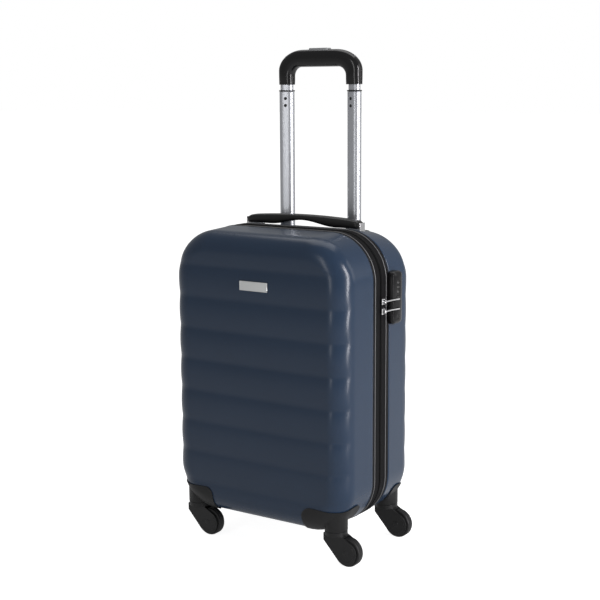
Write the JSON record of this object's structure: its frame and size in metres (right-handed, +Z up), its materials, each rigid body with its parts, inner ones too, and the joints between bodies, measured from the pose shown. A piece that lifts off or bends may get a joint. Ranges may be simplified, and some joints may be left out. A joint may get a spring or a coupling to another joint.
{
  "type": "hard shell suitcase",
  "caption": "Hard shell cabin suitcase with a clamshell lid, telescopic trolley handle, carry handle, side lock and swivel wheels.",
  "frame": {"origin": "bottom centre of the whole object's box, on the floor", "axes": "+Z up, +Y from the front shell to the rear shell that carries the trolley, +X to the side with the lock"},
  "size_m": [0.3626, 0.2288, 0.8267],
  "materials": {
    "shell": "dark slate blue ABS, satin gloss",
    "zip_tape": "black woven polyester tape",
    "zip_teeth": "black nylon coil",
    "piping": "thin grey piping",
    "zip_metal": "bright nickel-plated zinc",
    "lock_plastic": "black ABS, satin",
    "steel": "plain steel",
    "badge": "brushed plain plate, no lettering",
    "handle_rubber": "black soft-touch",
    "trolley_tube": "satin anodised",
    "trolley_plastic": "black nylon",
    "grip_gloss": "glossy black",
    "release_button": "grey satin",
    "caster_plastic": "black moulded nylon",
    "wheel": "black hard rubber on a nylon hub",
    "lining": "dark grey polyester lining",
    "strap": "black elastic webbing",
    "buckle": "black acetal"
  },
  "bodies": {
    "rear_case": {"rear_shell": "shell", "rear_zip_tape": "zip_tape", "rear_zip_teeth": "zip_teeth", "rear_piping": "piping", "rear_hinge_leaf": "zip_tape", "zip_slider_upper": "zip_metal", "zip_slider_lower": "zip_metal", "lock_housing": "lock_plastic", "handle_bracket_left": "zip_metal", "handle_bracket_right": "zip_metal", "trolley_bezel": "trolley_plastic", "trolley_foot_block": "trolley_plastic", "guide_tube_left": "trolley_tube", "guide_tube_right": "trolley_tube", "wheel_housing_rear_left": "caster_plastic", "wheel_housing_rear_right": "caster_plastic", "rear_lining": "lining", "packing_strap_lower": "strap", "packing_strap_upper": "strap", "buckle_socket": "buckle", "buckle_plug": "buckle"},
    "lid": {"front_shell": "shell", "front_zip_tape": "zip_tape", "front_zip_teeth": "zip_teeth", "front_piping": "piping", "front_hinge_leaf": "zip_tape", "badge_plate": "badge", "wheel_housing_front_left": "caster_plastic", "wheel_housing_front_right": "caster_plastic", "front_lining": "lining"},
    "carry_handle": {"carry_handle": "handle_rubber"},
    "trolley_stage": {"stage_tube_left": "trolley_tube", "stage_tube_right": "trolley_tube", "stage_collar_left": "trolley_plastic", "stage_collar_right": "trolley_plastic"},
    "trolley_grip": {"grip_tube_left": "trolley_tube", "grip_tube_right": "trolley_tube", "grip_front": "grip_gloss", "grip_rear": "grip_gloss"},
    "trolley_release": {"trolley_release_button": "release_button", "trolley_release_rods": "steel"},
    "zip_pull_upper": {"zip_pull_upper": "zip_metal"},
    "zip_pull_lower": {"zip_pull_lower": "zip_metal"},
    "lock_dial_1": {"lock_dial_1": "lock_plastic"},
    "lock_dial_2": {"lock_dial_2": "lock_plastic"},
    "lock_dial_3": {"lock_dial_3": "lock_plastic"},
    "lock_button": {"lock_button": "lock_plastic"},
    "lock_key_barrel": {"lock_key_barrel": "steel"},
    "swivel_front_left": {"caster_fork_front_left": "caster_plastic", "caster_axle_front_left": "steel"},
    "wheel_front_left": {"caster_wheel_front_left": "wheel"},
    "swivel_front_right": {"caster_fork_front_right": "caster_plastic", "caster_axle_front_right": "steel"},
    "wheel_front_right": {"caster_wheel_front_right": "wheel"},
    "swivel_rear_left": {"caster_fork_rear_left": "caster_plastic", "caster_axle_rear_left": "steel"},
    "wheel_rear_left": {"caster_wheel_rear_left": "wheel"},
    "swivel_rear_right": {"caster_fork_rear_right": "caster_plastic", "caster_axle_rear_right": "steel"},
    "wheel_rear_right": {"caster_wheel_rear_right": "wheel"}
  },
  "joints": [
    {"name": "lid_hinge", "type": "hinge", "parent": "rear_case", "child": "lid", "pos_m": [-0.18165, 0, 0.29], "axis": [0, 0, -1], "range_deg": [0, 160]},
    {"name": "carry_handle_lift", "type": "slide", "parent": "rear_case", "child": "carry_handle", "axis": [0, 0, 1], "range_m": [0, 0.004]},
    {"name": "trolley_stage_slide", "type": "slide", "parent": "rear_case", "child": "trolley_stage", "axis": [0, 0, 1], "range_m": [-0.22, 0]},
    {"name": "trolley_grip_slide", "type": "slide", "parent": "trolley_stage", "child": "trolley_grip", "axis": [0, 0, 1], "range_m": [-0.009, 0.2]},
    {"name": "trolley_release_press", "type": "slide", "parent": "trolley_grip", "child": "trolley_release", "axis": [0, 0, 1], "range_m": [-0.003, 0], "stiffness_N_per_m": 600, "springref_m": 0.004},
    {"name": "zip_pull_upper_swing", "type": "hinge", "parent": "rear_case", "child": "zip_pull_upper", "pos_m": [0.17375, 0, 0.4215], "axis": [0, 0, -1], "range_deg": [0, 150]},
    {"name": "zip_pull_lower_swing", "type": "hinge", "parent": "rear_case", "child": "zip_pull_lower", "pos_m": [0.17375, 0, 0.4055], "axis": [0, 0, -1], "range_deg": [0, 150]},
    {"name": "lock_dial_1_turn", "type": "hinge", "parent": "rear_case", "child": "lock_dial_1", "pos_m": [0.17435, 0.035, 0.4485], "axis": [0, 0, 1], "continuous": true},
    {"name": "lock_dial_2_turn", "type": "hinge", "parent": "rear_case", "child": "lock_dial_2", "pos_m": [0.17435, 0.035, 0.441], "axis": [0, 0, 1], "continuous": true},
    {"name": "lock_dial_3_turn", "type": "hinge", "parent": "rear_case", "child": "lock_dial_3", "pos_m": [0.17435, 0.035, 0.4335], "axis": [0, 0, 1], "continuous": true},
    {"name": "lock_button_press", "type": "slide", "parent": "rear_case", "child": "lock_button", "axis": [-1, 0, 0], "range_m": [0, 0.0015], "stiffness_N_per_m": 300, "springref_m": -0.001},
    {"name": "lock_key_turn", "type": "hinge", "parent": "rear_case", "child": "lock_key_barrel", "pos_m": [0.17865, 0.035, 0.393], "axis": [1, 0, 0], "range_deg": [0, 90]},
    {"name": "swivel_front_left", "type": "hinge", "parent": "lid", "child": "swivel_front_left", "pos_m": [-0.1455, -0.082, 0.0565], "axis": [0, 0, 1], "continuous": true},
    {"name": "roll_front_left", "type": "hinge", "parent": "swivel_front_left", "child": "wheel_front_left", "pos_m": [-0.122, -0.082, 0.0238], "axis": [0, 1, 0], "continuous": true},
    {"name": "swivel_front_right", "type": "hinge", "parent": "lid", "child": "swivel_front_right", "pos_m": [0.1325, -0.082, 0.0565], "axis": [0, 0, 1], "continuous": true},
    {"name": "roll_front_right", "type": "hinge", "parent": "swivel_front_right", "child": "wheel_front_right", "pos_m": [0.156, -0.082, 0.0238], "axis": [0, 1, 0], "continuous": true},
    {"name": "swivel_rear_left", "type": "hinge", "parent": "rear_case", "child": "swivel_rear_left", "pos_m": [-0.1455, 0.082, 0.0565], "axis": [0, 0, 1], "continuous": true},
    {"name": "roll_rear_left", "type": "hinge", "parent": "swivel_rear_left", "child": "wheel_rear_left", "pos_m": [-0.122, 0.082, 0.0238], "axis": [0, 1, 0], "continuous": true},
    {"name": "swivel_rear_right", "type": "hinge", "parent": "rear_case", "child": "swivel_rear_right", "pos_m": [0.1325, 0.082, 0.0565], "axis": [0, 0, 1], "continuous": true},
    {"name": "roll_rear_right", "type": "hinge", "parent": "swivel_rear_right", "child": "wheel_rear_right", "pos_m": [0.156, 0.082, 0.0238], "axis": [0, 1, 0], "continuous": true}
  ]
}
